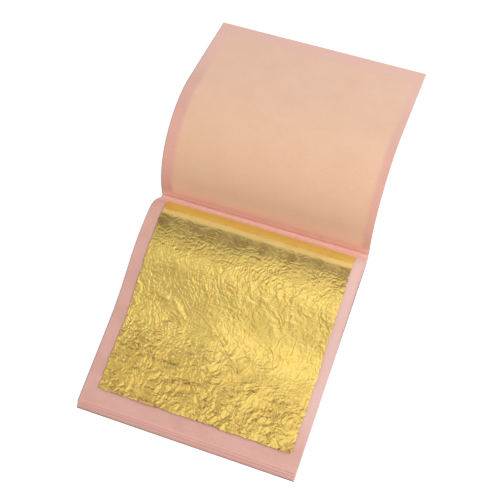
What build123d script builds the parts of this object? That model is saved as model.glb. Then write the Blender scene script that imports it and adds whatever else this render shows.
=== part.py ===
from build123d import *

import os
from math import acos, atan2, cos, degrees, hypot, radians, sin, tan

# A booklet of gold leaf, lying open on its back cover. Its tissue pages and covers are sewn through
# a narrow margin at the spine. The pages of the block rise in a hump as they leave the gutter, and
# the front cover and the first two pages are turned over and stand in an arch on the far side.
# X runs along the spine, the block's fore-edge points to -Y, and Z is up. The origin is the middle
# of the back cover's underside. Lengths are in millimetres, angles in degrees.

# Sheets and leaves. A page is as large as its leaf and the bare tissue around it, which is given
# in shares of the leaf.
leaf_size = 80.0
leaf_thickness = 0.025
leaf_side_shift = 1.0
side_margin_share = 0.0575
gutter_margin_share = 0.10125
fore_margin_share = 0.09875
tissue = 0.05
cover_thickness = 0.25
margin_length = 3.5

# How many pages the booklet has, and how many of them are turned over
page_count = 26
turned_pages = 2

# Air between neighbouring sheets: in the sewn margin, at the fore-edge and in the arch
margin_gap = 0.035
fore_gap = 0.05
arch_gap = 0.02

# The way of a page of the block, from the gutter to the fore-edge
rise_angle = 57.0
slope_angle = 17.0
gutter_bend = 2.4
rise_run = 4.6
crest_bend = 8.0
crest_run = 10.8
shoulder_bend = 11.0
slope_run = 8.8
foot_bend = 18.5
lowest_hump_share = 0.3
lowest_run_share = 0.86
settling_rounds = 30
fore_step = 0.09

# The arch of the turned sheets, cut across into strips that are hinged to each other. The strips
# are shares of the page's length, and the last one takes what is left.
arch_lift = 81.0
first_strip_share = 0.125
first_strip_turn = 18.6
bent_strip_share = 0.15625
bent_strip_turn = 27.7
bent_strips = 3
hinge_gap = 0.3
fold_from_bend = 0.1

# Sewing
thread_diameter = 0.3
thread_gap = 0.02
thread_bend = 0.3
thread_tail = 4.0
stitch_hole_radius = 0.3
stitch_holes = 8
stitch_end_gap = 6.1
cover_dip_radius = 20.0

# Leaves that lie between the pages of the block share a node in threes
leaves_in_group = 3

os.makedirs("parts", exist_ok=True)

# Sizes that follow from those above
page_width = leaf_size * (1 + 2 * side_margin_share)
leaf_from_gutter = leaf_size * gutter_margin_share
free_length = leaf_from_gutter + leaf_size * (1 + fore_margin_share)
first_strip = first_strip_share * free_length
bent_strip = bent_strip_share * free_length
stitch_pitch = (page_width - 2 * stitch_end_gap) / (stitch_holes - 1)
block_pages = page_count - turned_pages
top_level = block_pages - 1
margin_pitch = tissue + margin_gap
fore_pitch = tissue + fore_gap
thread_room = thread_diameter + thread_gap
sheet_length = margin_length + free_length
spine_edge = -margin_length - gutter_bend / 2
gutter_y = sheet_length / 2 + spine_edge

# Profiles are drawn on this plane: its X is the distance in front of the gutter, its Y the height
side_view = Plane(origin=(0, gutter_y, 0), x_dir=(0, -1, 0), z_dir=(-1, 0, 0))


def step(point, heading, length, turn):
    # Where a straight or evenly curved run ends, and which way it points there
    if turn:
        radius = length / radians(turn)
        end_heading = heading + turn
        x = point[0] + radius * (sin(radians(end_heading)) - sin(radians(heading)))
        y = point[1] + radius * (cos(radians(heading)) - cos(radians(end_heading)))
        return (x, y), end_heading
    x = point[0] + length * cos(radians(heading))
    y = point[1] + length * sin(radians(heading))
    return (x, y), heading


def end_of(point, heading, runs):
    for length, turn in runs:
        point, heading = step(point, heading, length, turn)
    return point


def draw(point, heading, runs):
    # Draw the runs one after the other, each tangent to the last
    for length, turn in runs:
        if turn:
            direction = (cos(radians(heading)), sin(radians(heading)))
            JernArc(start=point, tangent=direction, radius=abs(length / radians(turn)), arc_size=turn)
        else:
            PolarLine(start=point, length=length, angle=heading)
        point, heading = step(point, heading, length, turn)


def shifted(point, heading, runs, shift):
    # The same way, moved sideways to its left
    x = point[0] - shift * sin(radians(heading))
    y = point[1] + shift * cos(radians(heading))
    return (x, y), heading, [(length - shift * radians(turn), turn) for length, turn in runs]


def stretch(point, heading, runs, begin, length):
    # The part of the way that starts after begin and is as long as length
    kept = []
    for run, turn in runs:
        skip = min(begin, run)
        point, heading = step(point, heading, skip, turn * skip / run)
        begin -= skip
        keep = min(run - skip, length)
        length -= keep
        if keep > leaf_thickness:
            kept.append((keep, turn * keep / run))
    return point, heading, kept


def hump_way(level):
    # The underside of a page of the block, level 0 being the page next to the back cover.
    # Deeper pages bend less, and each way ends level with its place in the stack at the fore-edge.
    depth = (top_level - level) / top_level
    hump_share = 1 - depth * (1 - lowest_hump_share)
    run_share = 1 - depth * (1 - lowest_run_share)
    rise = rise_angle * hump_share
    slope = slope_angle * hump_share
    start = (spine_edge, thread_room + cover_thickness + margin_gap + level * margin_pitch)
    end_height = cover_thickness + fore_gap + level * fore_pitch
    runs = [
        (margin_length, 0),
        (gutter_bend, rise),
        (rise_run * run_share, 0),
        (crest_bend * run_share, -rise),
        (crest_run * run_share, 0),
        (shoulder_bend * run_share, -slope),
        (slope_run * run_share, 0),
    ]
    foot = foot_bend * run_share
    settle = 0
    for _ in range(settling_rounds):
        reach, height = end_of(start, 0, runs + [(foot, slope + settle)])
        if level == top_level:
            front_run = sheet_length - foot - sum(length for length, turn in runs)
            settle = degrees(atan2(end_height - height, front_run))
        else:
            rest = fore_edge(level) - reach
            front_run = hypot(rest, end_height - height)
            settle = degrees(atan2(end_height - height, rest))
    return start, 0, runs + [(foot, slope + settle), (front_run, 0)]


def fore_edge(level):
    # Each deeper page reaches one small step further to the front
    return end_of(*hump_way(top_level))[0] + fore_step * (top_level - level)


def band(way, thickness, width):
    # A sheet that follows the way and lies on its left
    with BuildSketch(side_view) as profile:
        with BuildLine():
            draw(*way)
            offset(amount=thickness, side=Side.LEFT)
        make_face()
    extrude(profile.sketch, amount=width / 2, both=True)


def pierce():
    # The needle's holes through the sewn margin
    with Locations((0, gutter_y - spine_edge - margin_length / 2)):
        with GridLocations(stitch_pitch, 0, stitch_holes, 1):
            Hole(stitch_hole_radius)


def save(part, name):
    part.label = name
    export_step(part, f"parts/{name}.step")


# Back cover: its margin is raised a little, because the stitches pass under it
dip = degrees(acos(1 - thread_room / (2 * cover_dip_radius)))
dip_run = cover_dip_radius * radians(dip)
cover_start = (spine_edge, thread_room)
cover_margin = [(margin_length, 0), (dip_run, -dip), (dip_run, dip)]
cover_front = fore_edge(0) - end_of(cover_start, 0, cover_margin)[0]
with BuildPart() as back_cover:
    band((cover_start, 0, cover_margin + [(cover_front, 0)]), cover_thickness, page_width)
    pierce()
save(back_cover.part, "back_cover")

# Pages of the block
for level in range(block_pages):
    with BuildPart() as page:
        band(hump_way(level), tissue, page_width)
        pierce()
    save(page.part, f"page_{page_count - level:02}")

# Gold leaf that lies bare on the top page, and those between the pages below it
leaf_begin = margin_length + gutter_bend / 2 + leaf_from_gutter


def leaf_way(level, shift):
    return stretch(*shifted(*hump_way(level), shift), leaf_begin, leaf_size)


with BuildPart() as bare_leaf:
    band(leaf_way(top_level, tissue + arch_gap), leaf_thickness, leaf_size)
save(bare_leaf.part.moved(Location((leaf_side_shift, 0, 0))), f"leaf_{turned_pages:02}")

first_inner = turned_pages + 1
for first in range(first_inner, page_count, leaves_in_group):
    last = min(first + leaves_in_group, page_count) - 1
    leaves = []
    for number in range(first, last + 1):
        with BuildPart() as inner_leaf:
            half_level = page_count - number - 1 + 1 / 2
            band(leaf_way(half_level, (tissue - leaf_thickness) / 2), leaf_thickness, leaf_size)
        leaves.append(inner_leaf.part)
    save(Compound(children=leaves), f"leaves_{first:02}_to_{last:02}")

# Turned sheets, from the face that shows in the open booklet to the cover behind it. Each has its
# distance from that face in the arch and in the sewn margin, its thickness, width and reach.
fold = (spine_edge + margin_length + fold_from_bend, thread_room + cover_thickness + margin_gap)
fold = (fold[0], fold[1] + block_pages * margin_pitch)
page_02_depth = 0
leaf_01_depth = page_02_depth + tissue + arch_gap
page_01_depth = leaf_01_depth + leaf_thickness + arch_gap
front_cover_depth = page_01_depth + tissue + arch_gap

# The arch: strips from the gutter to the fore-edge
last_strip = free_length - first_strip - bent_strips * bent_strip
arch_runs = [(first_strip, first_strip_turn)]
arch_runs += [(bent_strip, bent_strip_turn)] * bent_strips
arch_runs += [(last_strip, 0)]
arch_heading = 180 - arch_lift
hinge_at = [sum(length for length, turn in arch_runs[:k]) for k in range(len(arch_runs) + 1)]


def arch_strip(number, depth, thickness, width, begin, end):
    # One strip of a turned sheet, between two hinges, cut where the sheet begins and ends
    low = max(hinge_at[number - 1] + hinge_gap / 2, begin)
    high = min(hinge_at[number] - hinge_gap / 2, end)
    way = stretch(fold, arch_heading, arch_runs, low, high - low)
    band(shifted(*way, depth), thickness, width)


def fold_setback(depth, thickness):
    # How far a sheet inside the fold keeps from its line, so that its two sides don't meet
    return hinge_gap / 2 + (depth + thickness) / tan(radians(arch_lift / 2))


def turned_sheet(name, depth, margin_depth, thickness):
    setback = fold_setback(depth, thickness)
    margin_run = fold[0] - spine_edge - setback
    with BuildPart() as margin:
        band(((spine_edge, fold[1] + margin_depth), 0, [(margin_run, 0)]), thickness, page_width)
        pierce()
    save(margin.part, f"{name}_margin")
    for number in range(1, len(arch_runs) + 1):
        with BuildPart() as strip:
            arch_strip(number, depth, thickness, page_width, setback, free_length)
        save(strip.part, f"{name}_strip_{number}")


turned_sheet("page_02", page_02_depth, 0, tissue)
turned_sheet("page_01", page_01_depth, margin_pitch, tissue)
turned_sheet("front_cover", front_cover_depth, 2 * margin_pitch, cover_thickness)

leaf_end = leaf_from_gutter + leaf_size
for number in range(1, len(arch_runs) + 1):
    with BuildPart() as leaf_strip:
        arch_strip(number, leaf_01_depth, leaf_thickness, leaf_size, leaf_from_gutter, leaf_end)
    save(leaf_strip.part, f"leaf_01_strip_{number}")

# Sewing thread: one running stitch through the margin, with a loose tail at each end
stitch_low = thread_room / 2
stitch_high = fold[1] + 2 * margin_pitch + cover_thickness + thread_room / 2
stitch_y = gutter_y - spine_edge - margin_length / 2
first_hole = -stitch_pitch * (stitch_holes - 1) / 2
stitches = [(first_hole - thread_tail, stitch_high)]
for hole in range(stitch_holes):
    x = first_hole + hole * stitch_pitch
    down = [(x, stitch_high), (x, stitch_low)]
    stitches += down if hole % 2 == 0 else down[::-1]
stitches.append((-stitches[0][0], stitch_high))
with BuildPart() as sewing_thread:
    with BuildLine(Plane(origin=(0, stitch_y, 0), x_dir=(1, 0, 0), z_dir=(0, -1, 0))) as seam:
        FilletPolyline(*stitches, radius=thread_bend)
    with BuildSketch(Plane(origin=seam.line @ 0, z_dir=seam.line % 0)):
        Circle(thread_diameter / 2)
    sweep()
save(sewing_thread.part, "sewing_thread")

# The hinges' places, in the part's own frame
for number, at in enumerate(hinge_at[:-1], start=1):
    point = side_view.from_local_coords(end_of(*stretch(fold, arch_heading, arch_runs, 0, at)))
    print(f"hinge {number}: y {point.Y:.3f} z {point.Z:.3f}")
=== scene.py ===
import math

import bpy
import numpy as np
from mathutils import Euler, Matrix, Vector


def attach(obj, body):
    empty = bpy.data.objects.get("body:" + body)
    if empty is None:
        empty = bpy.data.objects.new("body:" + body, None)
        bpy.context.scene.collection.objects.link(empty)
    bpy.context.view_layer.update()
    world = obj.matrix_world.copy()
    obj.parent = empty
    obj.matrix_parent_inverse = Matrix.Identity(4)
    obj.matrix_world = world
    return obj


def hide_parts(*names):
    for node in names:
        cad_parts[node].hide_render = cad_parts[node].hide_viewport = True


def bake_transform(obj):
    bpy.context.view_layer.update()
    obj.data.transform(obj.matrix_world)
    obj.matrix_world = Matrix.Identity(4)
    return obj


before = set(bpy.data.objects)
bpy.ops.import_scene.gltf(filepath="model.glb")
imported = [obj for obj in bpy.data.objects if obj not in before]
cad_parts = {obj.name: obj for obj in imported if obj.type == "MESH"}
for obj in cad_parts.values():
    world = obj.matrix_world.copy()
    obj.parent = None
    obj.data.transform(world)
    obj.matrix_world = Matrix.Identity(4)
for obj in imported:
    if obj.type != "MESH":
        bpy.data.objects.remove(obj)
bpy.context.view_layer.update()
mm = 0.001
flatMm = 100  # every sheet carries its flat plan as UV, 100 mm to the unit

# The booklet lies along X with its fore-edge towards -Y. Profiles are written as in a maker's side
# drawing: distance in front of the gutter, height above the table, in millimetres, angles in degrees.
booklet = {
    "gutterY": 45.05, "spineEdge": -4.7, "pageWidth": 89.2, "sheetLength": 99.5, "topLevel": 23,
    "tissue": 0.05, "card": 0.25, "leafSide": 80.0, "leafThickness": 0.025,
}


def addObject(name, data):
    thing = bpy.data.objects.new(name, data)
    bpy.context.scene.collection.objects.link(thing)
    return thing


# Camera: a long lens that looks down at 68 degrees, from 32 degrees to the right of the front
camera = {
    "place": (83.638, -99.800, 398.850), "turn": (21.2187, 5.1131, 19.5545),
    "lens": 76.1086, "sensor": 36.0, "clip": (0.01, 20),
}
cameraData = bpy.data.cameras.new("productCamera")
cameraData.lens = camera["lens"]
cameraData.sensor_width = camera["sensor"]
cameraData.clip_start, cameraData.clip_end = camera["clip"]
cameraObject = addObject("productCamera", cameraData)
cameraTurn = Euler([math.radians(angle) for angle in camera["turn"]])
cameraObject.matrix_world = Matrix.LocRotScale(Vector(camera["place"]) * mm, cameraTurn, None)
bpy.context.scene.camera = cameraObject
bpy.context.scene.view_settings.view_transform = "Standard"
print("camera set")


def linearColour(hexCode):
    parts = [int(hexCode[i:i + 2], 16) / 255 for i in (1, 3, 5)]
    return [p / 12.92 if p <= 0.04045 else ((p + 0.055) / 1.055) ** 2.4 for p in parts] + [1.0]


def addNode(tree, kind, settings=None, links=None):
    # Settings are properties of the node, values of its inputs by name or number, or the stops of a
    # colour ramp. A link comes from a socket, or from the first output of a node.
    node = tree.nodes.new(kind)
    for key, value in (settings or {}).items():
        if key == "stops":
            elements = node.color_ramp.elements
            while len(elements) < len(value):
                elements.new(0.5)
            for element, (position, tone) in zip(elements, value.items()):
                element.position = position
                element.color = linearColour(tone)
        elif isinstance(key, str) and key in node.bl_rna.properties:
            setattr(node, key, value)
        else:
            node.inputs[key].default_value = value
    for key, source in (links or {}).items():
        socket = source.outputs[0] if isinstance(source, bpy.types.Node) else source
        tree.links.new(socket, node.inputs[key])
    return node


def newMaterial(name):
    material = bpy.data.materials.new(name)
    material.use_nodes = True
    material.node_tree.nodes.clear()
    return material, material.node_tree


# Light, in metres: a soft lamp and pale walls, and a painted ceiling that only reflections see, as
# photographers hang bright and dark cards round a shiny thing
studio = {
    "walls": "#FFFFFF", "wallLight": 0.52, "aim": (0.0, 0.02, 0.01),
    "skyPlace": (0.42, 0.05, 0.55), "skySide": 0.50, "skyPower": 3.3,
    "floorPaper": "#F6F6F6", "floorHeight": -0.0001, "floorHalf": 2.5, "floorShow": 0.8, "floorGlow": 1.17,
}
world = bpy.data.worlds.new("paleStudio")
bpy.context.scene.world = world
world.use_nodes = True
world.node_tree.nodes.clear()
tree = world.node_tree
rays = addNode(tree, "ShaderNodeLightPath")
seen = rays.outputs["Is Camera Ray"]
for ray in ("Is Glossy Ray", "Is Transmission Ray"):
    seen = addNode(tree, "ShaderNodeMath", {"operation": "MAXIMUM"}, {0: seen, 1: rays.outputs[ray]})
walls = {"Color": linearColour(studio["walls"]), "Strength": studio["wallLight"]}
ambient = addNode(tree, "ShaderNodeBackground", walls)
white = addNode(tree, "ShaderNodeBackground", {"Color": linearColour("#FFFFFF"), "Strength": 1.0})
mixed = addNode(tree, "ShaderNodeMixShader", {}, {0: seen, 1: ambient, 2: white})
addNode(tree, "ShaderNodeOutputWorld", {}, {"Surface": mixed})

skyData = bpy.data.lights.new("skyLamp", "AREA")
skyData.shape = "SQUARE"
skyData.size = studio["skySide"]
skyData.energy = studio["skyPower"]
skyLamp = addObject("skyLamp", skyData)
skyPlace = Vector(studio["skyPlace"])
skyTurn = (skyPlace - Vector(studio["aim"])).to_track_quat("Z", "Y")
skyLamp.matrix_world = Matrix.LocRotScale(skyPlace, skyTurn, None)
skyLamp.visible_glossy = False


def flatPiece(name, half, height, material):
    # A level square that reaches half its side each way
    mesh = bpy.data.meshes.new(name)
    corners = [(-half, -half, height), (half, -half, height), (half, half, height), (-half, half, height)]
    mesh.from_pydata(corners, [], [(0, 1, 2, 3)])
    mesh.materials.append(material)
    return addObject(name, mesh)


# White sweep paper: it shows as plain white, and keeps a faint shadow of the booklet
floorMaterial, tree = newMaterial("white sweep paper, matt")
paper = addNode(tree, "ShaderNodeBsdfDiffuse", {"Color": linearColour(studio["floorPaper"])})
glow = {"Color": linearColour("#FFFFFF"), "Strength": studio["floorGlow"]}
shine = addNode(tree, "ShaderNodeEmission", glow)
rays = addNode(tree, "ShaderNodeLightPath")
show = {"operation": "MULTIPLY", 1: studio["floorShow"]}
share = addNode(tree, "ShaderNodeMath", show, {0: rays.outputs["Is Camera Ray"]})
surface = addNode(tree, "ShaderNodeMixShader", {}, {0: share, 1: paper, 2: shine})
addNode(tree, "ShaderNodeOutputMaterial", {}, {"Surface": surface})
flatPiece("sweepPaper", studio["floorHalf"], studio["floorHeight"], floorMaterial)

# A painted ceiling over the booklet, which only reflections see. From front to back it is pale,
# brightest over the booklet, greyer behind it, and pale again past a wide dark stripe, which gives
# the leaf's crest its dark line. It grows brighter to the right, and past the stripe its left isn't
# dimmed.
ceiling = {
    "height": 0.80, "half": 1.6, "from": -0.50, "to": 0.60,
    "tones": {
        -0.50: "#CDC8C3", -0.23: "#DFDBD7", -0.14: "#E2DEDA", -0.06: "#FCF8F4", 0.04: "#F8F4F0",
        0.09: "#CECAC5", 0.15: "#CCC8C3", 0.18: "#F4EFEB", 0.215: "#E4DFDD", 0.265: "#C8C2C6",
        0.31: "#8F8994", 0.435: "#8F8994", 0.487: "#DAD0E2", 0.60: "#E2D8EC",
    },
    "rightward": 2.4, "middle": -0.165, "least": 0.8, "most": 1.3, "behind": (0.445, 0.485),
}
ceilingMaterial, tree = newMaterial("painted ceiling, matt")
geometry = addNode(tree, "ShaderNodeNewGeometry")
spot = addNode(tree, "ShaderNodeSeparateXYZ", {}, {"Vector": geometry.outputs["Position"]})
depth = ceiling["to"] - ceiling["from"]
reach = {"From Min": ceiling["from"], "From Max": ceiling["to"]}
back = addNode(tree, "ShaderNodeMapRange", reach, {"Value": spot.outputs["Y"]})
stops = {(place - ceiling["from"]) / depth: tone for place, tone in ceiling["tones"].items()}
paint = addNode(tree, "ShaderNodeValToRGB", {"stops": stops}, {"Fac": back})
rise = {"operation": "MULTIPLY_ADD", 1: ceiling["rightward"], 2: 1 - ceiling["rightward"] * ceiling["middle"]}
side = addNode(tree, "ShaderNodeMath", rise, {0: spot.outputs["X"]})
level = addNode(tree, "ShaderNodeClamp", {"Min": ceiling["least"], "Max": ceiling["most"]}, {"Value": side})
past = {"From Min": ceiling["behind"][0], "From Max": ceiling["behind"][1]}
behind = addNode(tree, "ShaderNodeMapRange", past, {"Value": spot.outputs["Y"]})
level = addNode(tree, "ShaderNodeMath", {"operation": "MAXIMUM"}, {0: level, 1: behind})
light = addNode(tree, "ShaderNodeEmission", {}, {"Color": paint, "Strength": level})
addNode(tree, "ShaderNodeOutputMaterial", {}, {"Surface": light})
painted = flatPiece("paintedCeiling", ceiling["half"], ceiling["height"], ceilingMaterial)
painted.visible_camera = False
painted.visible_diffuse = False
painted.visible_shadow = False
painted.visible_transmission = False
print("studio set")

# Ways: where a sheet runs, as a start, a heading and runs of (length, turn), each tangent to the last
fineStep = 0.1


def sampleWay(start, heading, runs, spacing):
    x, z = start
    angle = math.radians(heading)
    places, angles, lengths = [(x, z)], [angle], [0.0]
    for length, turn in runs:
        count = max(1, math.ceil(length / spacing))
        stepLength, stepTurn = length / count, math.radians(turn) / count
        for _ in range(count):
            x += stepLength * math.cos(angle + stepTurn / 2)
            z += stepLength * math.sin(angle + stepTurn / 2)
            angle += stepTurn
            places.append((x, z))
            angles.append(angle)
            lengths.append(lengths[-1] + stepLength)
    return np.array(places), np.array(angles), np.array(lengths)


def wayEnd(start, runs):
    # one step for each run is near enough for the place where they end
    return sampleWay(start, 0, runs, math.inf)[0][-1]


def wayAt(sampled, at):
    # X and height in the side view, and the heading, at lengths along a sampled way
    places, angles, lengths = sampled
    return [np.interp(at, lengths, values) for values in (places[:, 0], places[:, 1], angles)]


def onWay(way, spacing, begin=0.0, end=None):
    # Even steps along a way, as columns: length from its start, X, height and heading
    sampled = sampleWay(*way, fineStep)
    end = sampled[-1][-1] if end is None else end
    at = np.linspace(begin, end, max(2, math.ceil((end - begin) / spacing) + 1))[:, None]
    return [at] + wayAt(sampled, at)


hump = {
    "rise": 57.0, "slope": 17.0, "gutterBend": 2.4, "riseRun": 4.6, "crestBend": 8.0, "crestRun": 10.8,
    "shoulderBend": 11.0, "slopeRun": 8.8, "footBend": 18.5, "lowestHump": 0.3, "lowestRun": 0.86,
    "marginRun": 3.5, "marginPitch": 0.085, "forePitch": 0.1, "marginBase": 0.605, "foreBase": 0.3,
    "foreStep": 0.09, "rounds": 30, "crestCrown": 9.0, "trim": 0.028,
}


def pageWay(level, crown=hump["crestCrown"], foreReach=None):
    # A page of the block: level 0 lies on the back cover and level 23 is the top page
    top = booklet["topLevel"]
    depth = (top - level) / top
    humpShare = 1 - depth * (1 - hump["lowestHump"])
    runShare = 1 - depth * (1 - hump["lowestRun"])
    rise, slope, crown = (part * humpShare for part in (hump["rise"], hump["slope"], crown))
    start = (booklet["spineEdge"], hump["marginBase"] + level * hump["marginPitch"])
    endHeight = hump["foreBase"] + level * hump["forePitch"]
    runs = [
        (hump["marginRun"], 0),
        (hump["gutterBend"], rise),
        (hump["riseRun"] * runShare, 0),
        (hump["crestBend"] * runShare, -rise + crown / 2),
        (hump["crestRun"] * runShare, -crown),
        (hump["shoulderBend"] * runShare, -slope + crown / 2),
        (hump["slopeRun"] * runShare, 0),
    ]
    foot = hump["footBend"] * runShare
    frontRun = booklet["sheetLength"] - foot - sum(length for length, turn in runs)
    settle = 0.0
    for _ in range(hump["rounds"]):
        reach, height = wayEnd(start, runs + [(foot, slope + settle)])
        if foreReach:
            frontRun = math.hypot(foreReach + hump["foreStep"] * (top - level) - reach, endHeight - height)
        settle = math.degrees(math.asin((endHeight - height) / frontRun))
    return start, 0.0, runs + [(foot, slope + settle), (frontRun, 0)]


arch = {
    "fold": (-1.1, 2.645), "foldAngle": 99.0, "foldRound": 0.6, "marginRun": 3.6, "rounds": 5,
    "strips": [(12.0, 18.6), (15.0, 27.7), (15.0, 27.7), (15.0, 27.7), (39.0, 0.0)],
}


def archWay():
    # From the spine edge along the margin, round the fold and up the arch. A place on a sheet that
    # is s from the sharp fold is at archStart + s on this way.
    length, turn = arch["strips"][0]
    setback = arch["foldRound"]
    for _ in range(arch["rounds"]):
        foldTurn = arch["foldAngle"] + turn * setback / length
        setback = arch["foldRound"] * math.tan(math.radians(foldTurn / 2))
    bend = arch["foldRound"] * math.radians(foldTurn)
    first = (length - setback, turn * (length - setback) / length)
    runs = [(arch["marginRun"] - setback, 0), (bend, foldTurn), first] + arch["strips"][1:]
    return ((booklet["spineEdge"], arch["fold"][1]), 0.0, runs), arch["marginRun"] - 2 * setback + bend


archLine, archStart = archWay()


def trimmed(at):
    # the sewn margin is trimmed back towards its corners
    return 1 - hump["trim"] * (1 - grown(at, 0, arch["marginRun"]))


# Seeded noise on a flat sheet, in millimetres, from -1 to 1
def latticeNoise(u, v, cell, seed):
    size, shift = 256, (97.3, 61.7)
    table = np.random.default_rng(seed).uniform(-1, 1, (size, size))
    x, y = u / cell + shift[0], v / cell + shift[1]
    i, j = np.floor(x).astype(int), np.floor(y).astype(int)
    a, b = x - i, y - j
    a = a * a * a * (a * (a * 6 - 15) + 10)
    b = b * b * b * (b * (b * 6 - 15) + 10)

    def corner(right, up):
        return table[(i + right) % size, (j + up) % size]

    near = corner(0, 0) * (1 - a) + corner(1, 0) * a
    far = corner(0, 1) * (1 - a) + corner(1, 1) * a
    return near * (1 - b) + far * b


def layeredNoise(u, v, cell, seed, layers=3):
    return sum(latticeNoise(u, v, cell / 2 ** k, seed + k) / 2 ** k for k in range(layers))


def mixedNoise(u, v, *layers):
    # each layer is written as (height, cell, seed)
    return sum(height * latticeNoise(u, v, cell, seed) for height, cell, seed in layers)


def lineNoise(along, *layers):
    return mixedNoise(along, 0 * along, *layers)


def grown(at, begin, run, least=0):
    # goes from its least value to 1 over a run
    return np.clip((at - begin) / run, least, 1)


def hill(*ways):
    # 1 at its place, and fading softly over its width. Each way is (coordinate, place, width).
    return np.exp(-sum(((coordinate - place) / wide) ** 2 for coordinate, place, wide in ways))


def sheetGrids(x, z, angle, across, lift, thickness):
    # Both faces of a sheet on the left of its way. Each argument is a number or fits the grid.
    faces = []
    for shift in (lift + thickness, lift):
        y = booklet["gutterY"] - x + shift * np.sin(angle)
        faces.append(np.stack(np.broadcast_arrays(across, y, z + shift * np.cos(angle)), -1))
    return faces


def sheetPiece(name, faces, across, along, material):
    # A closed thin sheet from the grids of both faces, with its flat plan as UV
    rows, columns = faces[0].shape[:2]
    count = rows * columns
    points = np.concatenate([face.reshape(-1, 3) for face in faces]) * mm
    index = np.arange(count).reshape(rows, columns)
    top = np.stack([index[:-1, :-1], index[1:, :-1], index[1:, 1:], index[:-1, 1:]], -1).reshape(-1, 4)
    rim = np.concatenate([index[:, 0], index[-1, 1:], index[-2::-1, -1], index[0, -2:0:-1]])
    after = np.roll(rim, -1)
    walls = np.stack([rim, rim + count, after + count, after], -1)
    quads = np.concatenate([top, top[:, ::-1] + count, walls])
    mesh = bpy.data.meshes.new(name)
    mesh.vertices.add(len(points))
    mesh.vertices.foreach_set("co", points.ravel())
    mesh.loops.add(quads.size)
    mesh.loops.foreach_set("vertex_index", quads.ravel())
    mesh.polygons.add(len(quads))
    mesh.polygons.foreach_set("loop_start", np.arange(0, quads.size, 4))
    mesh.polygons.foreach_set("use_smooth", np.ones(len(quads), bool))
    mesh.update(calc_edges=True)
    plan = np.stack(np.broadcast_arrays(across, along), -1).reshape(-1, 2) / flatMm
    flat = np.concatenate([plan, plan])[quads.ravel()]
    mesh.uv_layers.new(name="flatPlan").data.foreach_set("uv", flat.ravel())
    # the rims of both faces are sharp edges
    ends = np.zeros(len(mesh.edges) * 2, int)
    mesh.edges.foreach_get("vertices", ends)
    low, high = np.sort(ends.reshape(-1, 2), axis=1).T
    rimLow, rimHigh = np.minimum(rim, after), np.maximum(rim, after)
    span = 2 * count
    rimKeys = np.concatenate([(rimLow + face) * span + rimHigh + face for face in (0, count)])
    sharp = mesh.attributes.new("sharp_edge", "BOOLEAN", "EDGE")
    sharp.data.foreach_set("value", np.isin(low * span + high, rimKeys))
    mesh.materials.append(material)
    return addObject(name, mesh)


def dress(piece, body, node):
    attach(piece, body)
    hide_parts(node)


# What the materials share. All of them read the flat plan, whose ways are across and along the sheet.
softly = {"interpolation_type": "SMOOTHSTEP"}
times = {"operation": "MULTIPLY"}


def newSheetMaterial(name):
    # a cleared material, with the flat plan as a place and as its two ways
    material, tree = newMaterial(name)
    place = addNode(tree, "ShaderNodeUVMap", {"uv_map": "flatPlan"})
    split = addNode(tree, "ShaderNodeSeparateXYZ", {}, {"Vector": place})
    return material, tree, place, {"across": split.outputs["X"], "along": split.outputs["Y"]}


def finishSkin(tree, look, links, height):
    # The skin's gloss, with the fine relief that height gives it
    bump = {"Strength": look["bumpShare"], "Distance": look["bumpMm"] * mm}
    relief = addNode(tree, "ShaderNodeBump", bump, {"Height": height})
    surface = addNode(tree, "ShaderNodeBsdfPrincipled", look["skin"], links | {"Normal": relief})
    addNode(tree, "ShaderNodeOutputMaterial", {}, {"Surface": surface})


def tinted(tree, flat, colour, tint):
    # Lays a tint over a colour. Its share steps softly across the sheet, along it, or both, and each
    # step is written as (from mm, to mm, share before, share after).
    share = None
    for way in flat:
        if way in tint:
            begin, end, before, after = tint[way]
            span = {"From Min": begin / flatMm, "From Max": end / flatMm, "To Min": before, "To Max": after}
            step = addNode(tree, "ShaderNodeMapRange", softly | span, {"Value": flat[way]})
            share = step if share is None else addNode(tree, "ShaderNodeMath", times, {0: share, 1: step})
    second = {"data_type": "RGBA", 7: linearColour(tint["colour"])}
    return addNode(tree, "ShaderNodeMix", second, {0: share, 6: colour}).outputs[2]


# Rouged tissue: thin machine-made paper, brushed with red chalk so that the leaf won't stick. Long
# fibres and uneven chalk give a soft, faintly clouded pink with no shine. The gutter is painted a
# brighter pink as painted light, the fore-edge and right-hand cut edges carry painted highlights, and
# the left-hand cut edge a painted shadow. Real fibres are some 0.03 mm wide, and are drawn coarser here so
# that they show.
tissuePaper = {
    "tones": {0.3: "#D7A396", 0.5: "#DDAB9E", 0.72: "#DFB1A4"},
    "cloud": {"Scale": flatMm / 11.0, "Detail": 4.0, "Roughness": 0.6},
    "fibre": {"Scale": flatMm / 0.35, "Detail": 3.0, "Roughness": 0.65},
    "fibreRun": {"Scale": (1.0, 0.35, 1.0), "Rotation": (0, 0, 0.25)},
    "speck": {"From Min": 0.35, "From Max": 0.65, "To Min": 0.97, "To Max": 1.03},
    "bumpMm": 0.01, "bumpShare": 0.5,
    "skin": {
        "Roughness": 0.9, "IOR": 1.5, "Specular IOR Level": 0.25,
        "Sheen Weight": 0.08, "Sheen Roughness": 0.6,
    },
}
foreEdge = booklet["sheetLength"]
# painted highlights: the cut fore-edge is painted a lighter, redder pink where it catches the light, and
# paler still on some lower pages
cutEdgeHighlight = {"colour": "#E9AEA2", "along": (foreEdge - 0.9, foreEdge - 0.1, 0.0, 0.75)}
paleCutEdgeHighlight = cutEdgeHighlight | {"colour": "#F3C6BB"}
# painted shadow greys the cut edge on the left, and a painted highlight lightens the cut edge on the right
sideCutShading = [
    {"colour": "#9A8884", "across": (-44.55, -44.1, 0.8, 0.0)},
    {"colour": "#F8D2CA", "across": (44.53, 44.58, 0.0, 0.9)},
]
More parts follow.
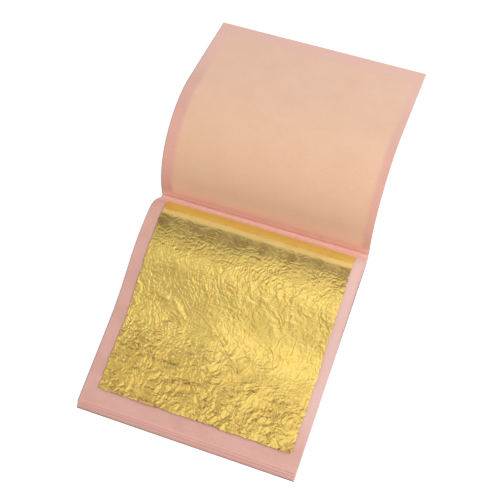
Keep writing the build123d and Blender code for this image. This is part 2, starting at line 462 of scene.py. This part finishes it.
# painted light: the top page is painted paler along its right side, where more light falls
rightSideLight = {"colour": "#EBC4BB", "across": (15, 43, 0.0, 0.85), "along": (72, 96, 1.0, 0.1)}
# painted light: the top page by the gutter and the turned page by the fold are painted a brighter pink, as
# light in the shaded fold
gutterPaintedLight = {"colour": "#EDC0B0", "along": (6.0, 13.0, 1.0, 0.0)}
archGutterPaintedLight = {"colour": "#F8CCBC", "along": (archStart + 1.5, archStart + 5.5, 1.0, 0.0)}

# The first leaf shows through the page over it as a warm square with soft, uneven edges, each
# written as (way, side, place). The margin round it is painted redder below and paler towards the free end,
# as painted light on the arch.
tanSquare = {
    "edges": [
        ("across", 1, 41.2), ("across", -1, -39.7),
        ("along", 1, archStart + 88.6), ("along", -1, archStart + 3.0),
    ],
    "soft": 1.2, "wobble": 1.6, "wobbleNoise": {"Scale": flatMm / 8.0, "Detail": 3.0, "Roughness": 0.6},
    "margins": [
        {"colour": "#EDB09B", "along": (archStart + 14, archStart + 54, 0.85, 0.0)},
        {"colour": "#E8BDAD", "along": (archStart + 38, archStart + 84, 0.0, 1.0)},
    ],
    "lowTones": {0.3: "#E9BB97", 0.7: "#ECC09D"}, "highTones": {0.3: "#E6BDA2", 0.7: "#EAC3AA"},
    "climb": {"From Min": (archStart + 8) / flatMm, "From Max": (archStart + 78) / flatMm},
    # painted light: the square is painted paler at its foot by the fold
    "foot": {"colour": "#FFD3B0", "along": (archStart + 4.0, archStart + 14.0, 1.0, 0.0)},
    "strength": 0.95,
}


def leafShowing(tree, place, flat, cloud, colour):
    for tint in tanSquare["margins"]:
        colour = tinted(tree, flat, colour, tint)
    noise = addNode(tree, "ShaderNodeTexNoise", tanSquare["wobbleNoise"], {"Vector": place})
    swing = tanSquare["wobble"] / flatMm
    centred = {"operation": "MULTIPLY_ADD", 1: swing, 2: -swing / 2}
    wobble = addNode(tree, "ShaderNodeMath", centred, {0: noise})
    softEdge = {"From Min": -tanSquare["soft"] / flatMm, "From Max": tanSquare["soft"] / flatMm}
    inside = None
    for way, side, edge in tanSquare["edges"]:
        past = addNode(tree, "ShaderNodeMath", {"operation": "SUBTRACT", 1: edge / flatMm}, {0: flat[way]})
        inwards = {"operation": "MULTIPLY_ADD", 1: -side}
        inward = addNode(tree, "ShaderNodeMath", inwards, {0: past, 2: wobble})
        within = addNode(tree, "ShaderNodeMapRange", softly | softEdge, {"Value": inward})
        inside = within if inside is None else addNode(tree, "ShaderNodeMath", times, {0: inside, 1: within})
    climb = addNode(tree, "ShaderNodeMapRange", softly | tanSquare["climb"], {"Value": flat["along"]})
    low = addNode(tree, "ShaderNodeValToRGB", {"stops": tanSquare["lowTones"]}, {"Fac": cloud})
    high = addNode(tree, "ShaderNodeValToRGB", {"stops": tanSquare["highTones"]}, {"Fac": cloud})
    warm = addNode(tree, "ShaderNodeMix", {"data_type": "RGBA"}, {0: climb, 6: low, 7: high}).outputs[2]
    warm = tinted(tree, flat, warm, tanSquare["foot"])
    share = addNode(tree, "ShaderNodeMath", times | {1: tanSquare["strength"]}, {0: inside})
    return addNode(tree, "ShaderNodeMix", {"data_type": "RGBA"}, {0: share, 6: colour, 7: warm}).outputs[2]


def tissueMaterial(name, tints, overLeaf=False):
    material, tree, place, flat = newSheetMaterial(name)
    cloud = addNode(tree, "ShaderNodeTexNoise", tissuePaper["cloud"], {"Vector": place})
    colour = addNode(tree, "ShaderNodeValToRGB", {"stops": tissuePaper["tones"]}, {"Fac": cloud})
    if overLeaf:
        colour = leafShowing(tree, place, flat, cloud, colour)
    for tint in tints + sideCutShading:
        colour = tinted(tree, flat, colour, tint)
    fibreRun = addNode(tree, "ShaderNodeMapping", tissuePaper["fibreRun"], {"Vector": place})
    fibre = addNode(tree, "ShaderNodeTexNoise", tissuePaper["fibre"], {"Vector": fibreRun})
    speck = addNode(tree, "ShaderNodeMapRange", softly | tissuePaper["speck"], {"Value": fibre})
    shade = {"data_type": "RGBA", "blend_type": "MULTIPLY", 0: 1.0}
    colour = addNode(tree, "ShaderNodeMix", shade, {6: colour, 7: speck}).outputs[2]
    finishSkin(tree, tissuePaper, {"Base Color": colour}, fibre)
    return material


def cardMaterial(name):
    # Cover card: thin pulp board dyed in the vat and calendered, even, dull and dusty, and greyer
    # along its cut edges
    card = {
        "tones": {0.3: "#C48C86", 0.7: "#CF9A93"}, "cutEdgeGrey": "#8E8280",
        "sideCut": {"From Min": 44.35 / flatMm, "From Max": 44.55 / flatMm},
        "endCut": {"From Min": (foreEdge - 0.4) / flatMm, "From Max": (foreEdge - 0.1) / flatMm},
        "grain": {"Scale": flatMm / 0.6, "Detail": 5.0, "Roughness": 0.7}, "bumpMm": 0.02, "bumpShare": 0.4,
        "skin": {"Roughness": 0.75, "IOR": 1.5, "Specular IOR Level": 0.35},
    }
    material, tree, place, flat = newSheetMaterial(name)
    grain = addNode(tree, "ShaderNodeTexNoise", card["grain"], {"Vector": place})
    colour = addNode(tree, "ShaderNodeValToRGB", {"stops": card["tones"]}, {"Fac": grain})
    outward = addNode(tree, "ShaderNodeMath", {"operation": "ABSOLUTE"}, {0: flat["across"]})
    side = addNode(tree, "ShaderNodeMapRange", softly | card["sideCut"], {"Value": outward})
    end = addNode(tree, "ShaderNodeMapRange", softly | card["endCut"], {"Value": flat["along"]})
    greyEdge = addNode(tree, "ShaderNodeMath", {"operation": "MAXIMUM"}, {0: side, 1: end})
    cutEdgeGrey = {"data_type": "RGBA", 7: linearColour(card["cutEdgeGrey"])}
    colour = addNode(tree, "ShaderNodeMix", cutEdgeGrey, {0: greyEdge, 6: colour}).outputs[2]
    finishSkin(tree, card, {"Base Color": colour}, grain)
    return material


def goldMaterial(name):
    # Gold leaf: 23 carat gold beaten by hand to a tenth of a micron. It keeps the beating's haze,
    # so its mirror is soft, and every crinkle turns light and dark. The beating's grain is drawn
    # coarser than it is, so that it shows. Towards the fore-edge the gold is painted deeper, most of
    # all on the left, as painted shade. Its rim by the gutter is painted paler, a painted reflection,
    # or the turned page's pink would show in it as orange.
    gold = {
        "tones": {0.28: "#EFCB6E", 0.5: "#F9DC7C"},
        "haze": {"Scale": flatMm / 7.0, "Detail": 5.0, "Roughness": 0.6},
        "grain": {"Scale": flatMm / 0.55, "Detail": 2.0, "Roughness": 0.5}, "bumpMm": 0.02, "bumpShare": 0.6,
        # painted shade: deeper gold towards the fore-edge and the left
        "fore": {"colour": "#DFB65C", "along": (64, 76, 0.0, 0.4), "across": (-10, 20, 1.0, 0.6)},
        # painted reflection: paler gold along the gutter rim
        "rim": {"colour": "#FFF492", "along": (15.2, 16.4, 0.9, 0.0)},
        "dull": {"From Min": 0.3, "From Max": 0.7, "To Min": 0.13, "To Max": 0.22},
        "skin": {"Metallic": 1.0},
    }
    material, tree, place, flat = newSheetMaterial(name)
    haze = addNode(tree, "ShaderNodeTexNoise", gold["haze"], {"Vector": place})
    colour = addNode(tree, "ShaderNodeValToRGB", {"stops": gold["tones"]}, {"Fac": haze})
    for tint in (gold["fore"], gold["rim"]):
        colour = tinted(tree, flat, colour, tint)
    rough = addNode(tree, "ShaderNodeMapRange", softly | gold["dull"], {"Value": haze})
    grain = addNode(tree, "ShaderNodeTexNoise", gold["grain"], {"Vector": place})
    finishSkin(tree, gold, {"Base Color": colour, "Roughness": rough}, grain)
    return material


def threadMaterial(name):
    # Linen thread, waxed: two plies of bast fibre drawn over beeswax, off-white with a dull gleam.
    # Its fibres are some 0.02 mm wide, and are drawn coarser so that they show.
    thread = {
        "tones": {0.35: "#CBB9A2", 0.65: "#E4D6C4"},
        "fibre": {"Scale": flatMm / 0.12, "Detail": 3.0, "Roughness": 0.7}, "bumpMm": 0.02, "bumpShare": 0.4,
        "skin": {"Roughness": 0.55, "IOR": 1.45},
    }
    material, tree = newMaterial(name)
    place = addNode(tree, "ShaderNodeUVMap", {"uv_map": "flatPlan"})
    fibre = addNode(tree, "ShaderNodeTexNoise", thread["fibre"], {"Vector": place})
    colour = addNode(tree, "ShaderNodeValToRGB", {"stops": thread["tones"]}, {"Fac": fibre})
    finishSkin(tree, thread, {"Base Color": colour}, fibre)
    return material


plainTissue = tissueMaterial("rouged tissue paper, with painted highlight at the cut", [cutEdgeHighlight])
paleCutTissue = tissueMaterial("rouged tissue paper, with pale painted highlight at the cut", [paleCutEdgeHighlight])
gutterTissue = tissueMaterial("rouged tissue paper, redder by the gutter", [rightSideLight, gutterPaintedLight, cutEdgeHighlight])
panelTissue = tissueMaterial("rouged tissue paper over a leaf", [archGutterPaintedLight], overLeaf=True)
coverCard = cardMaterial("dyed pulp card, calendered")
beatenGold = goldMaterial("beaten gold leaf, crinkled")
linenThread = threadMaterial("waxed linen thread")
print("materials made")

sheetEnds = (-booklet["pageWidth"] / 2, booklet["pageWidth"] / 2)
plainTopWay = pageWay(booklet["topLevel"], 0.0)
foreReach = wayEnd(plainTopWay[0], plainTopWay[2])[0]

# Pages of the block under the top one. They were cut and squared a little unevenly, so a few stand
# out at the fore-edge as uneven lines, with darker gaps between them.
lowerPages = {
    "columns": 17, "spacing": 0.8, "steps": {22: 0.12, 18: 0.62, 13: 1.08, 8: 1.52, 3: 1.98}, "pale": (18, 8),
    "recess": 0.55, "leastRecess": 0.5, "skew": 0.12, "waverShare": 0.5, "waverCell": 23.0, "waverSeed": 300,
    "sway": 0.15, "swayRun": 60.0, "ease": 10.0, "cutSeed": 11,
}
cutting = np.random.default_rng(lowerPages["cutSeed"])
across = np.linspace(*sheetEnds, lowerPages["columns"])[None, :]
for level in range(booklet["topLevel"]):
    at, x, z, angle = onWay(pageWay(level, foreReach=foreReach), lowerPages["spacing"])
    faces = sheetGrids(x, z, angle, across * trimmed(at), 0.0, booklet["tissue"])
    group = min(k for k in lowerPages["steps"] if k >= level)
    standsOut = lowerPages["steps"][group]
    if level not in lowerPages["steps"]:
        standsOut -= lowerPages["recess"] * cutting.uniform(lowerPages["leastRecess"], 1.0)
    tilt = cutting.uniform(-1, 1) * across / sheetEnds[1]
    waver = (lowerPages["waverShare"], lowerPages["waverCell"], lowerPages["waverSeed"] + level)
    skew = lowerPages["skew"] * (tilt + lineNoise(across, waver))
    extra = standsOut + skew - hump["foreStep"] * (booklet["topLevel"] - level)
    share = grown(at, at[-1] - lowerPages["ease"], lowerPages["ease"])
    sway = lowerPages["sway"] * cutting.uniform(-1, 1)
    for grid in faces:
        grid[..., 0] += sway * grown(at, 0, lowerPages["swayRun"])
        grid[..., 1] -= share * extra * np.cos(angle[-1])
        grid[..., 2] += share * extra * np.sin(angle[-1])
    number = booklet["topLevel"] + 3 - level  # page 3 is the top one
    # the pale groups carry the paler painted highlight at their cut
    material = paleCutTissue if group in lowerPages["pale"] else plainTissue
    page = sheetPiece(f"tissuePage_{number:02}", faces, across, at - at[-1] + foreEdge, material)
    dress(page, "block", f"page_{number:02}")
print("pages laid")

# The top page, with a gentle crown on the hump, a few brush folds by the gutter and faint waves
topPage = {
    "spacing": 0.35, "columns": 150, "folds": {4.7: 0.13, 6.3: 0.2, 8.3: 0.16, 10.2: 0.1}, "foldWide": 0.32,
    "wander": (0.35, 19.0, 37), "foldShare": 0.65, "uneven": (0.35, 11.0, 47),
    "waveMm": 0.05, "waveShare": 0.6, "waveCell": 14.0, "waveStretch": 1.6, "waveSeed": 31,
    "waveFrom": 6, "waveEase": 8,
}
topSheetWay = pageWay(booklet["topLevel"], foreReach=foreReach)


def topPageLift(across, at):
    ripple = layeredNoise(across, at * topPage["waveStretch"], topPage["waveCell"], topPage["waveSeed"])
    begun = grown(at, topPage["waveFrom"], topPage["waveEase"])
    lift = topPage["waveMm"] * (1 + topPage["waveShare"] * ripple) * begun
    for place, height in topPage["folds"].items():
        wander, uneven = (
            lineNoise(across, (size, cell, seed + int(place)))
            for size, cell, seed in (topPage["wander"], topPage["uneven"])
        )
        share = topPage["foldShare"] + uneven
        lift = lift + height * share * hill((at, place + wander, topPage["foldWide"]))
    return lift


at, x, z, angle = onWay(topSheetWay, topPage["spacing"])
across = np.linspace(*sheetEnds, topPage["columns"])[None, :]
faces = sheetGrids(x, z, angle, across * trimmed(at), topPageLift(across, at), booklet["tissue"])
dress(sheetPiece("tissuePage_03", faces, across, at, gutterTissue), "block", "page_03")

# Back cover: its margin is raised a little, because the stitches pass under it
backCard = {"dipRadius": 20.0, "room": 0.32, "beyond": 0.16, "spacing": 1.0, "columns": 13}
dip = math.degrees(math.acos(1 - backCard["room"] / (2 * backCard["dipRadius"])))
dipRun = backCard["dipRadius"] * math.radians(dip)
start = (booklet["spineEdge"], backCard["room"])
cardRuns = [(hump["marginRun"], 0), (dipRun, -dip), (dipRun, dip)]
cardReach = foreReach + hump["foreStep"] * booklet["topLevel"] + backCard["beyond"]
cardRuns.append((cardReach - wayEnd(start, cardRuns)[0], 0))
at, x, z, angle = onWay((start, 0.0, cardRuns), backCard["spacing"])
across = np.linspace(*sheetEnds, backCard["columns"])[None, :]
faces = sheetGrids(x, z, angle, across * trimmed(at), 0.0, booklet["card"])
backCover = sheetPiece("backCoverCard", faces, across, at - at[-1] + foreEdge, coverCard)
dress(backCover, "block", "back_cover")
print("back cover laid")

# Leaves between the pages of the block, flat and wholly hidden
innerLeaf = {"begin": 14.0, "spacing": 1.5, "columns": 5, "perNode": 3, "first": 3, "last": 25}
halfLeaf = booklet["leafSide"] / 2
leafEnd = innerLeaf["begin"] + booklet["leafSide"]
lift = (booklet["tissue"] - booklet["leafThickness"]) / 2
across = np.linspace(-halfLeaf, halfLeaf, innerLeaf["columns"])[None, :]
for number in range(innerLeaf["first"], innerLeaf["last"] + 1):
    first = number - number % innerLeaf["perNode"]
    last = min(first + innerLeaf["perNode"] - 1, innerLeaf["last"])
    # each lies half a level under the page of its own number
    way = pageWay(booklet["topLevel"] + 3 - number - 0.5, foreReach=foreReach)
    at, x, z, angle = onWay(way, innerLeaf["spacing"], innerLeaf["begin"], leafEnd)
    faces = sheetGrids(x, z, angle, across, lift, booklet["leafThickness"])
    leaf = sheetPiece(f"goldLeaf_{number:02}", faces, across, at, beatenGold)
    dress(leaf, "block", f"leaves_{first:02}_to_{last:02}")
print("inner leaves laid")

# The bare leaf: one crinkled sheet of beaten gold on the top page. On it, u runs to the right and v
# from the gutter side to the fore-edge, both from 0 to 80 mm. Depths, heights and widths are in
# millimetres. Noise is written as (height, cell, seed), and an area of the leaf as the place and
# width of its hill along u and along v.
bareLeaf = {
    "cells": 350, "begin": 12.8, "shift": 1.0, "float": 0.08, "rim": 2.5,
    "waves": 0.036, "mesh": 0.088, "strokes": 0.05, "crumples": 0.14, "broad": 0.18, "mound": 0.5,
    "calmArea": ((62, 20), (45, 17)), "moundArea": ((35, 9), (49, 10)),
    "crumpledAreas": {1.1: ((62, 23), (30, 7)), 0.5: ((38, 14), (54, 9))},
    "leftWide": 24, "leftFrom": 20, "leftEase": 15, "frontFrom": 56, "frontEase": 16,
    "gutterWide": 15, "smoothFrom": 4.5, "smoothEase": 9, "smoothLeast": 0.2,
    "bend": (0.7, 5.0), "smallBend": (0.2, 1.4),
    "creaseDepth": 0.15, "creaseWide": 0.28, "foldDepth": -0.26, "foldWide": 1.1, "scratchSeed": 5,
    "scratches": 46, "scratchReach": (2, 7), "scratchDepth": (0.03, 0.08), "scratchWide": (0.2, 0.32),
    "scratchVeer": (-0.9, 0.9), "scratchOn": ((2, 14), (78, 79)),
    "leanLeft": 0.45, "leanBack": 0.75, "leanFront": 0.4, "curl": 1.0, "curlReach": 5,
    "nick": 0.9, "nickPlace": (70.0, 0.7), "gutterLift": 0.6, "gutterLiftRun": 3.2,
    "frontLift": 0.45, "frontLifts": {1: (18, 8), 0.5: (47, 6)},
    "ragged": ((0.22, 5.5, 121), (0.2, 1.1, 122)), "torn": ((0.25, 2.4, 123), (0.15, 0.9, 124)),
}

# Long creases, as places on the leaf
longCreases = [
    [(12.1, 27.8), (17.5, 34.6), (23.7, 39.4), (28.8, 41.9), (35.1, 45.4)],
    [(20.0, 29.9), (23.4, 32.6), (26.3, 36.0)],
    [(18.7, 22.7), (23.7, 21.5)], [(19.3, 25.5), (24.3, 24.3)], [(30.7, 35.4), (36.8, 34.7)],
    [(1.1, 28.9), (6.0, 27.5), (11.3, 26.8)], [(67.5, 35.4), (64.0, 37.5), (61.0, 41.0), (60.4, 45.3)],
    [(57.3, 44.3), (60.4, 47.0), (62.5, 50.9), (63.8, 53.3)], [(67.7, 38.4), (67.1, 44.8)],
    [(56.1, 53.0), (62.6, 51.7), (65.0, 49.6)], [(49.2, 47.4), (51.2, 50.9), (55.3, 51.6)],
    [(53.2, 64.0), (58.3, 61.6), (68.6, 57.5), (72.2, 58.4)], [(65.5, 63.1), (67.9, 61.1), (73.5, 59.2)],
    [(35.1, 45.4), (45.9, 54.8), (51.6, 60.4)], [(58.4, 31.5), (62.6, 36.3)], [(64.4, 64.7), (65.1, 69.5)],
    [(58.8, 37.6), (68.4, 34.9)], [(5.5, 56.9), (12.6, 57.3), (22.8, 56.6)], [(10.2, 76.1), (16.4, 74.2)],
    [(27.1, 72.7), (31.3, 72.9), (37.4, 71.2)], [(66.1, 71.1), (65.8, 66.3), (66.4, 62.0), (71.4, 59.9)],
    [(1.0, 58.9), (8.9, 61.7), (18.0, 63.6), (29.0, 63.7)],
    [(36.8, 50.3), (43.2, 53.2), (47.5, 55.9), (52.1, 60.6)],
]

# Wider folds, where the sheet was pushed together
folds = [
    [(33.0, 43.5), (45.9, 54.8), (51.6, 60.4)], [(14.0, 46.0), (24.0, 50.5), (36.0, 61.0), (44.0, 69.0)],
    [(1.0, 57.9), (8.9, 60.7), (18.0, 62.6), (29.0, 62.7)],
    [(23.4, 70.6), (29.0, 68.7), (34.3, 67.5), (41.0, 68.5)],
    [(8.0, 37.0), (17.0, 38.5), (23.0, 44.0)],
]


def creaseHeight(u, v, path, depth, wide):
    # A groove with a raised lip along a bent path that fades out at both ends
    points = np.array(path, float)
    spans = np.hypot(*(points[1:] - points[:-1]).T)
    total, before = spans.sum(), 0.0
    best = np.full_like(u, np.inf)
    signed, along = np.zeros_like(u), np.zeros_like(u)
    for a, b, span in zip(points[:-1], points[1:], spans):
        d = (b - a) / span
        t = np.clip((u - a[0]) * d[0] + (v - a[1]) * d[1], 0, span)
        du, dv = u - a[0] - t * d[0], v - a[1] - t * d[1]
        distance = np.hypot(du, dv)
        nearer = distance < best
        best = np.where(nearer, distance, best)
        signed = np.where(nearer, np.where(du * d[1] - dv * d[0] > 0, distance, -distance), signed)
        along = np.where(nearer, (before + t) / total, along)
        before += span
    # it fades over its first and last fifth, and the lip lies beside it, a little lower
    fade = np.clip(np.sin(np.pi * np.clip(along, 0.02, 0.98)) * 1.6, 0, 1)
    uneven = 0.6 + 0.5 * latticeNoise(u, v, 2.6, 151)
    lip = 0.8 * hill((signed, 1.5 * wide, wide))
    groove = lip - hill((signed, 0, wide))
    return depth * fade * uneven * groove


def onArea(u, v, area):
    return hill((u, *area[0]), (v, *area[1]))


def crinkle(u, v):
    # height of the leaf's crinkles in millimetres
    warpU = u + 1.6 * layeredNoise(u, v, 6.0, 51)
    warpV = v + 1.6 * layeredNoise(u, v, 6.0, 61)
    calm, mound = (onArea(u, v, bareLeaf[key]) for key in ("calmArea", "moundArea"))
    upper = hill((np.clip(v - 4, 0, None), 0, bareLeaf["gutterWide"]))
    left = hill((u, 0, bareLeaf["leftWide"])) * grown(v, bareLeaf["leftFrom"], bareLeaf["leftEase"])
    front = grown(v, bareLeaf["frontFrom"], bareLeaf["frontEase"])
    middle = sum(share * onArea(u, v, area) for share, area in bareLeaf["crumpledAreas"].items())
    # waves along the crest, close mesh in the middle, strokes down the left, crumples in front
    waves = latticeNoise(warpU * 0.25, warpV, 0.52, 71) + 0.6 * latticeNoise(warpU * 0.35, warpV, 0.85, 72)
    mesh = 1 - 2 * np.abs(latticeNoise(warpU, warpV, 0.9, 81)) + 0.6 * latticeNoise(warpU, warpV, 0.5, 82)
    strokes = latticeNoise(warpU, warpV * 0.35, 0.55, 91) + 0.8 * latticeNoise(warpU, warpV * 0.4, 1.1, 92)
    crumples = 1 - 2 * np.abs(layeredNoise(warpU, warpV, 3.4, 101, 2))
    crumpled = 0.16 + 0.35 * left + 1.15 * front + middle
    patchy = 0.65 + 0.5 * latticeNoise(u, v, 9.0, 111)
    height = bareLeaf["waves"] * waves * (0.55 + 0.45 * upper) * (1 - 0.6 * calm)
    height += bareLeaf["mesh"] * mesh * (1 - 0.6 * upper) * (1 - 0.75 * calm) * patchy
    height += bareLeaf["strokes"] * strokes * (0.3 + left) * (1 - 0.8 * upper)
    height += bareLeaf["crumples"] * crumples * crumpled * (1 - upper) * patchy
    # the leaf is smoother along its gutter edge
    height *= grown(v, bareLeaf["smoothFrom"], bareLeaf["smoothEase"], bareLeaf["smoothLeast"])
    height += bareLeaf["broad"] * layeredNoise(u, v, 15.0, 41) * (1 - 0.7 * upper)
    height += bareLeaf["mound"] * mound
    bentU, bentV = (
        place + mixedNoise(u, v, (*bareLeaf["bend"], seed + 1), (*bareLeaf["smallBend"], seed + 2))
        for place, seed in ((u, 130), (v, 140))
    )
    for path in longCreases:
        height += creaseHeight(bentU, bentV, path, bareLeaf["creaseDepth"], bareLeaf["creaseWide"])
    for path in folds:
        height += creaseHeight(bentU, bentV, path, bareLeaf["foldDepth"], bareLeaf["foldWide"])
    scatter = np.random.default_rng(bareLeaf["scratchSeed"])
    for _ in range(bareLeaf["scratches"]):
        a = scatter.uniform(*bareLeaf["scratchOn"])
        turn, reach = scatter.uniform(0, math.pi), scatter.uniform(*bareLeaf["scratchReach"])
        b = a + reach * np.array((math.cos(turn), math.sin(turn)))
        veers = [turn + scatter.uniform(*bareLeaf["scratchVeer"]) for _ in range(2)]
        c = b + reach * 0.8 * np.array((math.cos(veers[0]), math.sin(veers[1])))
        depth, wide = (scatter.uniform(*bareLeaf[key]) for key in ("scratchDepth", "scratchWide"))
        height += creaseHeight(bentU, bentV, [a, b, c], depth, wide)
    return height


side = booklet["leafSide"]
u, v = np.meshgrid(*[np.linspace(0, side, bareLeaf["cells"] + 1)] * 2)
right, front = u / side, v / side
frontRim, leftRim, rightRim = (np.clip(1 - d / bareLeaf["rim"], 0, 1) ** 2 for d in (side - v, u, side - u))
ragged = lineNoise(u, *bareLeaf["ragged"])
torn = lineNoise(v, *bareLeaf["torn"])
nick = bareLeaf["nick"] * hill((v, *bareLeaf["nickPlace"]))
# the leaf lies a little out of square, and its corners and front edge stand off the page
leafX = u - side / 2 + bareLeaf["shift"] + bareLeaf["leanLeft"] * (1 - right) * front
leafX = leafX + leftRim * torn + rightRim * (torn - nick)
leafAt = v + bareLeaf["begin"] - bareLeaf["leanBack"] * (1 - right) * (1 - front)
leafAt = leafAt + bareLeaf["leanFront"] * right * front + frontRim * ragged
corner = np.hypot(u - side, v - side)
curl = bareLeaf["curl"] * np.clip(1 - corner / bareLeaf["curlReach"], 0, 1) ** 2
lifted = bareLeaf["gutterLift"] * np.clip(1 - v / bareLeaf["gutterLiftRun"], 0, 1) ** 2
frontLifts = sum(share * hill((u, *place)) for share, place in bareLeaf["frontLifts"].items())
lifted += bareLeaf["frontLift"] * frontRim * frontLifts
x, z, angle = wayAt(sampleWay(*topSheetWay, fineStep), leafAt)
height = crinkle(u, v)
height = height - height.min() + bareLeaf["float"] + booklet["tissue"]
height = height + topPageLift(leafX, leafAt) + curl + lifted
faces = sheetGrids(x, z, angle, leafX, height, booklet["leafThickness"])
dress(sheetPiece("goldLeaf_02", faces, leafX, leafAt, beatenGold), "loose_leaf", "leaf_02")
print("bare leaf laid")

# Turned sheets, from the inside of the arch to the outside. Each is cut across at the middle of the
# CAD's strips. Only the outermost piece rides on a flap; the others stay where they lie.
turned = {
    "spacing": 0.5, "columns": 60, "waveMm": 0.02, "waveFrom": 3, "waveEase": 10,
    "waveCell": 17.0, "waveStretch": 0.7, "waveSeed": 131,
    "foldMm": 0.10, "foldAt": 3.0, "foldWide": 0.6, "bendHeights": (3.3, 6.2),
    "leafDepth": 0.07, "pageDepth": 0.115, "cardDepth": 0.185, "leafFrom": 8.1,
}
stripEnds = archStart + np.cumsum([0.0] + [length for length, turn in arch["strips"]])
middles = (stripEnds[:-1] + stripEnds[1:]) / 2
bodies = ["block"] + [f"flap_{k}" for k in range(1, 6)]


def placeOnArch(at):
    x, z = wayAt(sampleWay(*archLine, fineStep), at)[:2]
    return (0.0, (booklet["gutterY"] - x) * mm, z * mm)


def turnedSheet(name, node, depth, thickness, material, slot, ends=sheetEnds, first=0.0, last=stripEnds[-1]):
    cuts = [first] + [m for m in middles if first < m < last] + [last]
    across = np.linspace(*ends, turned["columns"])[None, :]
    for low, high in zip(cuts[:-1], cuts[1:]):
        at, x, z, angle = onWay(archLine, turned["spacing"], low, high)
        ripple = layeredNoise(across, at * turned["waveStretch"], turned["waveCell"], turned["waveSeed"])
        begun = grown(at, archStart + turned["waveFrom"], turned["waveEase"])
        wave = turned["waveMm"] * ripple * begun
        wave = wave + turned["foldMm"] * hill((at, archStart + turned["foldAt"], turned["foldWide"]))
        faces = sheetGrids(x, z, angle, across * trimmed(at), depth + wave, thickness)
        k = sum(low >= m for m in middles)
        piece = sheetPiece(f"{name}_{k}", faces, across, at, material)
        if k == len(middles):
            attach(piece, bodies[k])
        elif k == 0:
            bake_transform(piece)
        else:
            placeOnArch(middles[k - 1])
            placeOnArch(middles[k])
            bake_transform(piece)
        part = f"{node}_strip_{k}" if k else f"{node}_margin"
        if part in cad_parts:
            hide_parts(part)


tissue, card, leafThickness = (booklet[key] for key in ("tissue", "card", "leafThickness"))
leafSpan = (archStart + turned["leafFrom"], archStart + turned["leafFrom"] + booklet["leafSide"])
leafEnds = (-halfLeaf, halfLeaf)
turnedSheet("turnedPage_02", "page_02", 0.0, tissue, panelTissue, "tissue_paper")
turnedSheet("turnedLeaf_01", "leaf_01", turned["leafDepth"], leafThickness, beatenGold, "gold_leaf",
            leafEnds, *leafSpan)
turnedSheet("turnedPage_01", "page_01", turned["pageDepth"], tissue, plainTissue, "tissue_paper")
turnedSheet("frontCoverCard", "front_cover", turned["cardDepth"], card, coverCard, "cover_card")
print("turned sheets laid")

# Sewing thread: two plies twisted, through the margin as one running stitch with a loose tail at
# each end
sewing = {
    "y": 48.0, "low": 0.16, "high": 3.27, "holes": 8, "pitch": 11.0, "tail": 4.0, "bend": 0.3,
    "bendPoints": 7, "plyRadius": 0.078, "plyOffset": 0.07, "twistMm": 0.9, "sides": 8, "spacing": 0.1,
}


def stitchLine():
    # the thread's middle line with rounded corners, as points in its plane
    first = -sewing["pitch"] * (sewing["holes"] - 1) / 2
    corners = [(first - sewing["tail"], sewing["high"])]
    for hole in range(sewing["holes"]):
        x = first + hole * sewing["pitch"]
        down = [(x, sewing["high"]), (x, sewing["low"])]
        corners += down if hole % 2 == 0 else down[::-1]
    corners = np.array(corners + [(-corners[0][0], sewing["high"])])
    points = [corners[0]]
    for before, corner, after in zip(corners[:-2], corners[1:-1], corners[2:]):
        come = (before - corner) / np.hypot(*(before - corner))
        go = (after - corner) / np.hypot(*(after - corner))
        for t in np.linspace(0, 1, sewing["bendPoints"]):
            points.append(corner + sewing["bend"] * (come * (1 - t) ** 2 + go * t ** 2))
    points = np.array(points + [corners[-1]])
    lengths = np.concatenate([[0], np.cumsum(np.hypot(*(points[1:] - points[:-1]).T))])
    at = np.arange(0, lengths[-1], sewing["spacing"])
    return at, np.interp(at, lengths, points[:, 0]), np.interp(at, lengths, points[:, 1])


def plyPiece(name, phase):
    at, x, z = stitchLine()
    heading = np.arctan2(np.gradient(z), np.gradient(x))
    sideways = np.stack([-np.sin(heading), 0 * heading, np.cos(heading)], -1)
    outward = np.array([0.0, 1.0, 0.0])
    twist = (phase + 2 * math.pi * at / sewing["twistMm"])[:, None]
    middle = np.stack([x, np.full_like(x, sewing["y"]), z], -1)
    middle = middle + sewing["plyOffset"] * (np.cos(twist) * sideways + np.sin(twist) * outward)
    count, sides = len(at), sewing["sides"]
    around = (2 * math.pi * np.arange(sides) / sides)[None, :, None]
    ring = np.cos(around) * sideways[:, None, :] + np.sin(around) * outward
    rings = middle[:, None, :] + sewing["plyRadius"] * ring
    points = np.concatenate([rings.reshape(-1, 3), middle[:1], middle[-1:]]) * mm
    index = np.arange(count * sides).reshape(count, sides)
    beside = np.roll(index, -1, axis=1)
    faces = np.stack([index[:-1], beside[:-1], beside[1:], index[1:]], -1).reshape(-1, 4).tolist()
    faces += [[count * sides, b, a] for a, b in zip(index[0].tolist(), beside[0].tolist())]
    faces += [[count * sides + 1, a, b] for a, b in zip(index[-1].tolist(), beside[-1].tolist())]
    mesh = bpy.data.meshes.new(name)
    mesh.from_pydata(points.tolist(), [], faces)
    mesh.polygons.foreach_set("use_smooth", np.ones(len(mesh.polygons), bool))
    ends = np.zeros(len(mesh.loops), int)
    mesh.loops.foreach_get("vertex_index", ends)
    plan = np.stack([points[:, 0], points[:, 2]], -1)[ends] / (flatMm * mm)
    mesh.uv_layers.new(name="flatPlan").data.foreach_set("uv", plan.ravel())
    mesh.materials.append(linenThread)
    dress(addObject(name, mesh), "block", "sewing_thread")


plyPiece("sewingPly_1", 0.0)
plyPiece("sewingPly_2", math.pi)
print("thread sewn")
